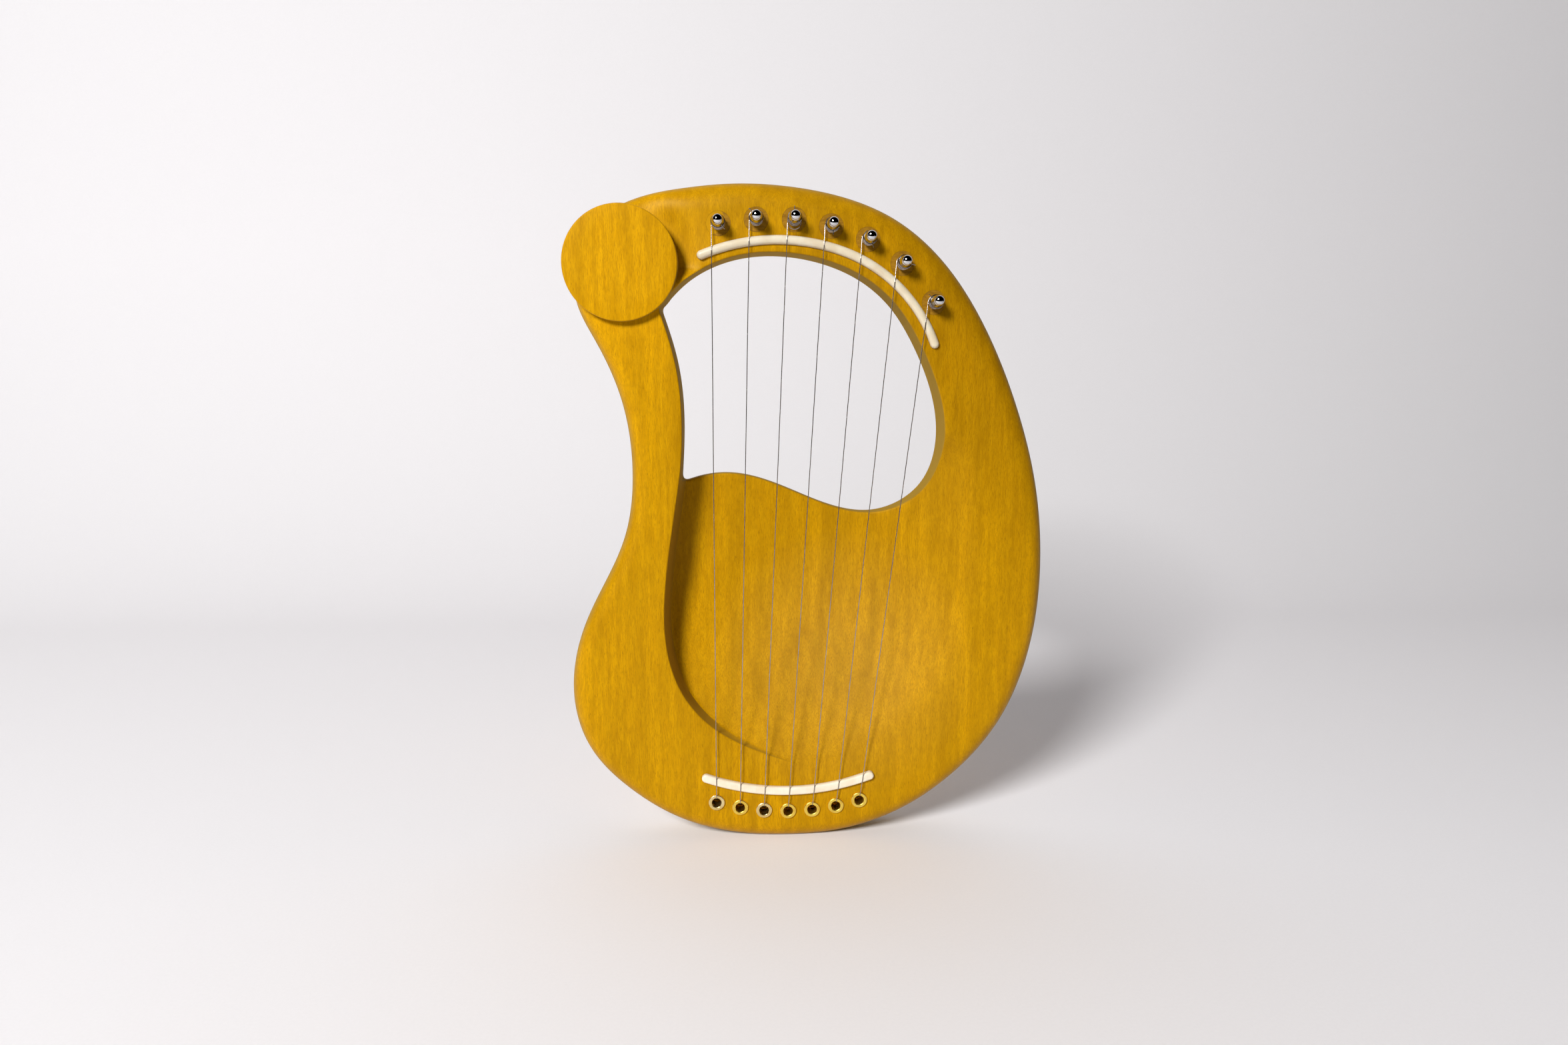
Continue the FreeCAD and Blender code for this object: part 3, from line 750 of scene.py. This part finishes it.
def tube(name, path, radius, sides=10):
    """Round wire along points, its ends closed."""
    loops = []
    across = (path[1] - path[0]).orthogonal()
    for before, point, after in zip(path[:1] + path[:-1], path, path[1:] + path[-1:]):
        along = (after - before).normalized()
        across = (across - along * across.dot(along)).normalized()
        other = along.cross(across)
        ring = [across * math.cos(t) + other * math.sin(t) for t in full_turn(sides)]
        loops.append([point + way * radius for way in ring])
    return lofted(name, loops)


def winding_path(pin):
    """Hand-wound turns up the pin, then through its hole to a short cut end."""
    number, draw = pin["number"], random.Random(pin["number"])
    turns, slack = WINDING_TURNS[number - 1], WINDING_SLACK[number - 1]
    loose = LOOSE_LOOP.get(number, 0)
    phase, beat = draw.uniform(0, 6), draw.uniform(1.2, 1.7)
    path = []
    steps = round(turns * WINDING_STEPS)
    for k in range(steps + 1):
        share = k / steps
        angle = math.radians(WINDING_START + 360 * turns * share)
        free = min(1, WINDING_ENDS * share, WINDING_ENDS * (1 - share))
        reach = WIRE_REACH + slack * free * (0.5 + 0.5 * math.sin(angle * beat / WINDING_SWELL + phase))
        if LOOSE_LOOP_FROM < share < LOOSE_LOOP_FROM + 1 / turns:
            reach += loose * max(0, -math.sin(angle)) ** 2
        height = WINDING_FROM + (WINDING_TO - WINDING_FROM) * share
        height += WINDING_WAVER * free * math.sin(angle * beat + 2 * phase)
        path.append(pin["at"](angle, reach, height))
    tail_end = -WIRE_REACH - TAIL
    return path + [pin["at"](angle, reach, WINDING_TO) for reach in (*THROUGH_PIN, tail_end)]


def eyelet_mesh():
    """Rolled eyelet about Z, its face at zero and its rim above."""
    middle, half = (EYELET_BORE + EYELET_OUTER) / 2, (EYELET_OUTER - EYELET_BORE) / 2
    depth = FRONT_Y - EYELET_END_Y
    flat = EYELET_BOXINESS
    rings = [(EYELET_BARREL, depth), (EYELET_BARREL, 0.05)]
    for angle in np.radians(np.linspace(0, 180, 21)):
        across, up = math.cos(angle), math.sin(angle)
        rings.append((middle + half * math.copysign(abs(across) ** flat, across), EYELET_RIM * up**flat))
    rings.append((EYELET_BORE, depth))
    vertices, faces, segments = [], [], 64
    for radius, height in rings:
        vertices += [(radius * math.cos(t), radius * math.sin(t), height) for t in full_turn(segments)]
    for level in range(len(rings)):
        for k in range(segments):
            a, b = level * segments + k, level * segments + (k + 1) % segments
            above = ((level + 1) % len(rings) - level) * segments
            faces.append([a, b, b + above, a + above])
    return mesh_from("eyelet", vertices, faces)


def add_piece(name, mesh, node, body, material, angle=35):
    """A finished piece that stands for one CAD node and rides on a body."""
    smooth(mesh, angle)
    mesh.materials.clear()
    mesh.materials.append(material)
    piece = new_object(name, mesh)
    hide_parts(node)
    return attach(piece, body)


def make_small_parts(pins, materials):
    """Saddles, pins, their wire and the eyelets."""
    upper = saddle_mesh("upper_bone", upper_band, UPPER_SADDLE_TOP_Y, UPPER_SADDLE_ROUND)
    lower = saddle_mesh("lower_bone", lower_band, LOWER_SADDLE_TOP_Y, LOWER_SADDLE_ROUND)
    add_piece("upper_bone", upper, "upper_saddle", "lyre", materials["bone"])
    pale = bone("pale_bone", (0.84, 0.73, 0.54, 1), (0.92, 0.84, 0.68, 1))
    add_piece("lower_bone", lower, "lower_saddle", "lyre", pale)
    worn_brass = metal("worn_brass", (0.80, 0.62, 0.24, 1), (0.92, 0.78, 0.42, 1), 0.28, 5.0)
    for pin in pins:
        number = pin["number"]
        shank = placed(pin_mesh(), pin["foot"], pin["axis"])
        wire = tube("wire", winding_path(pin), WIRE_RADIUS)
        centre = centre_of(f"front_eyelet_{number}")
        rim = placed(eyelet_mesh(), (centre.x, FRONT_Y, centre.z), (0, -1, 0))
        rows = (
            ("chrome_pin", shank, "tuning_pin", "chrome", pin["body"]),
            ("wound_wire", wire, "string_winding", "string_steel", pin["body"]),
            ("rolled_eyelet", rim, "front_eyelet", "brass", "lyre"),
        )
        for name, mesh, node, slot, rider in rows:
            worn = slot == "brass" and number in PALE_EYELETS
            finish = worn_brass if worn else materials[slot]
            add_piece(f"{name}_{number}", mesh, f"{node}_{number}", rider, finish)


def pin_frames(frame):
    """Each tuning pin's number, body, foot and outward axis (millimetres), and the places round it."""
    pins = []
    for number, joint in enumerate(frame["joints"], 1):
        foot, axis = Vector(joint["pos_m"]) / MM, -Vector(joint["axis"]).normalized()
        along = (foot - centre_of(f"front_eyelet_{number}")).normalized()
        aside = axis.cross(along).normalized()
        onward = aside.cross(axis)

        def at(angle, reach, height, foot=foot, axis=axis, aside=aside, onward=onward):
            """A point round the pin, its angle counted on from where the string arrives."""
            return foot + axis * height + (aside * math.cos(angle) + onward * math.sin(angle)) * reach

        pins.append({"number": number, "body": joint["child"], "foot": foot, "axis": axis, "at": at})
    return pins


# ---------------------------------------------------------------- materials


class Nodes:
    """Adds nodes to one material and joins them."""

    def __init__(self, name):
        self.material = bpy.data.materials.new(name)
        self.material.use_nodes = True
        self.tree = self.material.node_tree
        self.shader = self.tree.nodes["Principled BSDF"]

    def set(self, **values):
        """Sets the shader's own sockets, or links them where the value is a socket."""
        for name, value in values.items():
            self.feed(self.shader.inputs[name.replace("_", " ")], value)

    def feed(self, socket, value):
        """Sets one socket, or links it where the value is a socket."""
        if isinstance(value, bpy.types.NodeSocket):
            self.tree.links.new(value, socket)
        else:
            socket.default_value = value

    def add(self, kind, inputs=(), **settings):
        """A node with its settings, its inputs set or linked."""
        node = self.tree.nodes.new(kind)
        for name, value in settings.items():
            setattr(node, name, value)
        for key, value in dict(inputs).items():
            self.feed(node.inputs[key], value)
        return node

    def place(self, scale):
        """Object coordinates in millimetres, each axis divided by a size."""
        coordinates = self.add("ShaderNodeTexCoord").outputs["Object"]
        sizes = [1 / MM / size for size in scale]
        return self.add("ShaderNodeMapping", {"Vector": coordinates, "Scale": sizes}).outputs["Vector"]

    def noise(self, scale, detail=2.0, roughness=0.5, distortion=0.0):
        """Noise whose patches have a size along each axis, in millimetres."""
        inputs = {"Vector": self.place(scale), "Scale": 1.0, "Detail": detail}
        inputs |= {"Roughness": roughness, "Distortion": distortion}
        return self.add("ShaderNodeTexNoise", inputs).outputs["Fac"]

    def span(self, value, low, high, to_low=0.0, to_high=1.0):
        """Maps a value from one range to another, held inside it."""
        inputs = {"Value": value, "From Min": low, "From Max": high, "To Min": to_low, "To Max": to_high}
        return self.add("ShaderNodeMapRange", inputs).outputs["Result"]

    def math(self, operation, a, b=0.0):
        return self.add("ShaderNodeMath", {0: a, 1: b}, operation=operation).outputs[0]

    def mix(self, share, a, b, blend="MIX"):
        """The colour a, blended with b by a share."""
        node = self.add("ShaderNodeMix", data_type="RGBA", blend_type=blend)
        for key, value in ((0, share), (6, a), (7, b)):
            self.feed(node.inputs[key], value)
        return node.outputs[2]

    def near(self, point, far, close, share):
        """Rises to a share from one distance to another, in millimetres, from a point."""
        coordinates = self.add("ShaderNodeTexCoord").outputs["Object"]
        inputs = {0: coordinates, 1: [c * MM for c in point]}
        distance = self.add("ShaderNodeVectorMath", inputs, operation="DISTANCE").outputs["Value"]
        return self.span(distance, far * MM, close * MM, 0.0, share)

    def bump(self, height, strength, distance):
        """A normal tilted by a height; the distance is in millimetres."""
        inputs = {"Height": height, "Strength": strength, "Distance": distance * MM}
        return self.add("ShaderNodeBump", inputs).outputs["Normal"]


def lacquer(n):
    """A weak, warm gloss."""
    n.set(Specular_IOR_Level=0.16, Specular_Tint=(1.0, 0.78, 0.3, 1))


def stained_wood():
    """Golden stain over pale hardwood: upright fibres, soft streaks, painted olive shade on steep faces and a
    faint painted sheen in the bowl.
    """
    n = Nodes("stained_wood")
    broad = n.noise((34.0, 34.0, 90.0), detail=2.0)
    streak = n.noise((7.0, 7.0, 110.0), detail=2.0, roughness=0.5, distortion=0.15)
    line = n.noise((1.6, 1.6, 40.0), detail=2.0, roughness=0.6)
    mottle = n.noise((3.0, 3.0, 12.0), detail=2.0, roughness=0.6)
    fibre = n.noise((0.42, 0.42, 4.0), detail=3.0, roughness=0.75)
    pore = n.noise((0.45, 0.45, 2.4), detail=1.0)
    colour = n.mix(n.span(streak, 0.34, 0.66), WOOD_DARK, WOOD_LIGHT)
    colour = n.mix(n.span(line, 0.4, 0.66, 0.0, 0.45), colour, WOOD_LINE)
    colour = n.mix(n.span(mottle, 0.4, 0.7, 0.0, 0.35), colour, WOOD_MOTTLE)
    colour = n.mix(n.span(broad, 0.45, 0.75, 0.0, 0.4), colour, WOOD_BROAD)
    colour = n.mix(n.span(fibre, 0.34, 0.56, 0.68, 0.0), colour, WOOD_FIBRE)
    colour = n.mix(n.span(pore, 0.66, 0.76, 0.0, 0.5), colour, WOOD_PORE)
    # Darker towards the arch's right end, paler round the boss
    colour = n.mix(n.near(DARKEST_PLACE, 240.0, 40.0, 1.0), colour, DEEP_TINT, "MULTIPLY")
    colour = n.mix(n.near(PALEST_PLACE, 110.0, 30.0, 1.0), colour, PALE_TINT, "MULTIPLY")
    # Painted sheen: a faint pale patch in the bowl, in place of a reflection
    colour = n.mix(n.near(BOWL_PAINTED_SHEEN, 85.0, 20.0, 0.04), colour, PAINTED_SHEEN)
    normal = n.add("ShaderNodeNewGeometry").outputs["Normal"]
    facing = n.add("ShaderNodeSeparateXYZ", {0: normal}).outputs["Y"]
    # Painted shade: the steeper the face, the more olive is mixed in
    steep = n.span(n.math("ABSOLUTE", facing), 0.75, 0.15)
    colour = n.mix(n.math("MULTIPLY", steep, 0.8), colour, OLIVE_SHADE)
    dull = n.math("MULTIPLY", n.span(n.math("ABSOLUTE", facing), 0.5, 0.05), 0.45)
    n.set(Base_Color=colour, Roughness=n.math("ADD", n.span(mottle, 0.3, 0.7, 0.38, 0.46), dull))
    lacquer(n)
    n.set(Normal=n.bump(n.math("ADD", fibre, n.math("MULTIPLY", pore, -0.6)), 0.25, 0.1))
    return n.material


def bushing_wood(stained_place):
    """Brown hardwood; round one place it has taken the body's stain."""
    n = Nodes("bushing_wood")
    grain = n.noise((3.5, 3.5, 1.1), detail=4.0, distortion=0.8)
    colour = n.mix(n.span(grain, 0.35, 0.65), (0.24, 0.112, 0.009, 1), (0.36, 0.175, 0.012, 1))
    colour = n.mix(n.near(stained_place, 9.6, 8.6, 0.9), colour, (0.53, 0.26, 0.001, 1))
    n.set(Base_Color=colour, Roughness=0.5, Normal=n.bump(grain, 0.15, 0.1))
    lacquer(n)
    return n.material


def bone(name, low, high):
    """Bone between two shades, with faint darker lines."""
    n = Nodes(name)
    cloud = n.noise((9.0, 9.0, 9.0), detail=3.0)
    line = n.noise((0.5, 0.5, 14.0), detail=2.0)
    colour = n.mix(n.span(cloud, 0.35, 0.65), low, high)
    colour = n.mix(n.span(line, 0.62, 0.8, 0.0, 0.3), colour, (0.62, 0.48, 0.30, 1))
    n.set(Base_Color=colour, Roughness=0.28, Normal=n.bump(cloud, 0.08, 0.15))
    n.set(Subsurface_Weight=0.15, Subsurface_Radius=(0.002, 0.0015, 0.001))
    return n.material


def metal(name, low, high, roughness, size):
    """Metal whose colour and roughness wander between two values over patches of that size."""
    n = Nodes(name)
    patch = n.noise((size, size, size), detail=3.0)
    scratch = n.noise((0.15, 0.15, 3.0), detail=2.0)
    n.set(Base_Color=n.mix(n.span(patch, 0.35, 0.65), low, high), Metallic=1.0)
    n.set(Roughness=n.span(patch, 0.3, 0.7, roughness * 0.8, roughness * 1.3))
    n.set(Normal=n.bump(scratch, 0.04, 0.02))
    return n.material


def cad_materials(pins):
    """One finished material for each of the record's slots."""
    left_of_first_pin = pins[0]["foot"] + Vector((-6.0, 0, 2.5))
    return {
        "stained_wood": stained_wood(),
        "bushing_wood": bushing_wood(left_of_first_pin),
        "bone": bone("bone", (0.69, 0.58, 0.40, 1), (0.77, 0.69, 0.52, 1)),
        "chrome": metal("chrome", (0.62, 0.62, 0.63, 1), (0.74, 0.74, 0.75, 1), 0.05, 4.0),
        "brass": metal("brass", (0.88, 0.60, 0.09, 1), (1.0, 0.78, 0.15, 1), 0.28, 5.0),
        "string_steel": metal("string_steel", (0.34, 0.30, 0.28, 1), (0.48, 0.44, 0.42, 1), 0.22, 6.0),
    }


def dress_nodes(frame, materials):
    """Gives each carried-over CAD node the material of its slot."""
    for part in frame["record"]["subparts"]:
        node = frame["nodes"][part["node"]]
        node.data.materials.clear()
        node.data.materials.append(materials[part["material_slot"]])


# ---------------------------------------------------------------- studio


def stage_material():
    """Pale, dull paper."""
    n = Nodes("stage_paper")
    weave = n.noise((1.5, 1.5, 1.5), detail=2.0)
    n.set(Base_Color=n.mix(weave, (0.86, 0.84, 0.85, 1), (0.90, 0.88, 0.89, 1)), Roughness=0.9)
    n.set(Normal=n.bump(weave, 0.1, 0.2))
    return n.material


def make_stage():
    """Floor that curves up into a backdrop behind the harp."""
    bend = 450
    wall_y, side, front, top = 950, 3000, -900, 3500
    profile = [(front, 0)] + arc(bend, (wall_y - bend, bend), -90, 0, 24) + [(wall_y, top)]
    vertices = [(x, y, z) for x in (-side, side) for y, z in profile]
    count = len(profile)
    faces = [[k, k + 1, k + 1 + count, k + count] for k in range(count - 1)]
    mesh = mesh_from("stage", vertices, faces)
    mesh.shade_smooth()
    mesh.materials.append(stage_material())
    new_object("stage", mesh)


def aimed(name, data, position, target):
    """A light or camera at a place, looking at another, both in millimetres."""
    thing = bpy.data.objects.new(name, data)
    bpy.context.scene.collection.objects.link(thing)
    thing.location = Vector(position) * MM
    thing.rotation_mode = "QUATERNION"
    thing.rotation_quaternion = (Vector(target) - Vector(position)).to_track_quat("-Z", "Y")
    return thing


def soft_light(name, position, target, size, power, glossy=True):
    """Round area light; one that isn't glossy adds no highlight."""
    light = bpy.data.lights.new(name, "AREA")
    light.shape, light.size, light.energy = "DISK", size * MM, power
    lamp = aimed(name, light, position, target)
    lamp.visible_glossy = glossy
    return lamp


def make_lights():
    """Large key from the upper left, weak fill and top lights, and a pale room that lights nothing."""
    middle = (0, 0, 200)
    soft_light("key", (-1300, -2200, 1700), middle, size=900, power=104)
    soft_light("fill", (1500, -2200, 900), middle, size=1600, power=0.5, glossy=False)
    soft_light("top", (500, -100, 2400), middle, size=1500, power=4, glossy=False)
    world = bpy.data.worlds.new("room")
    bpy.context.scene.world = world
    world.use_nodes = True
    backdrop = world.node_tree.nodes["Background"].inputs
    backdrop["Color"].default_value = (0.95, 0.97, 1.0, 1)
    backdrop["Strength"].default_value = 0.7
    seen_by = world.cycles_visibility
    seen_by.diffuse = seen_by.glossy = seen_by.transmission = False


def make_camera():
    """The photograph's view: slightly from above and from the left, with a wide lens."""
    camera = bpy.data.cameras.new("camera")
    camera.lens, camera.sensor_width = 24, 36
    target, distance = Vector((-14.8, -17.0, 200.06)), 620
    down, heading = math.radians(9.6), math.radians(2.6)
    level = math.cos(down)
    forward = Vector((math.sin(heading) * level, math.cos(heading) * level, -math.sin(down)))
    bpy.context.scene.camera = aimed("camera", camera, target - forward * distance, target)


with open("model.json") as file:
    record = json.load(file)
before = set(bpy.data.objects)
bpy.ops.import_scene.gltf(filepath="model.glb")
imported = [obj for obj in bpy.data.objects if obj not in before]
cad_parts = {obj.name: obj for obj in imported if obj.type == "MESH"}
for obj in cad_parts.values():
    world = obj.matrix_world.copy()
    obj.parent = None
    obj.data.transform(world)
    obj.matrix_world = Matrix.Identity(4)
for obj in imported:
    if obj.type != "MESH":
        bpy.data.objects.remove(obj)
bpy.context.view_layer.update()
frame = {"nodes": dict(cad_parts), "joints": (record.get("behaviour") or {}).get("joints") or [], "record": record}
pins = pin_frames(frame)
materials = cad_materials(pins)
make_camera()
make_stage()
make_lights()
dress_nodes(frame, materials)
body = make_body(pins)
body.data.materials.append(materials["stained_wood"])
make_small_parts(pins, materials)
bpy.context.scene.view_settings.view_transform = "Standard"
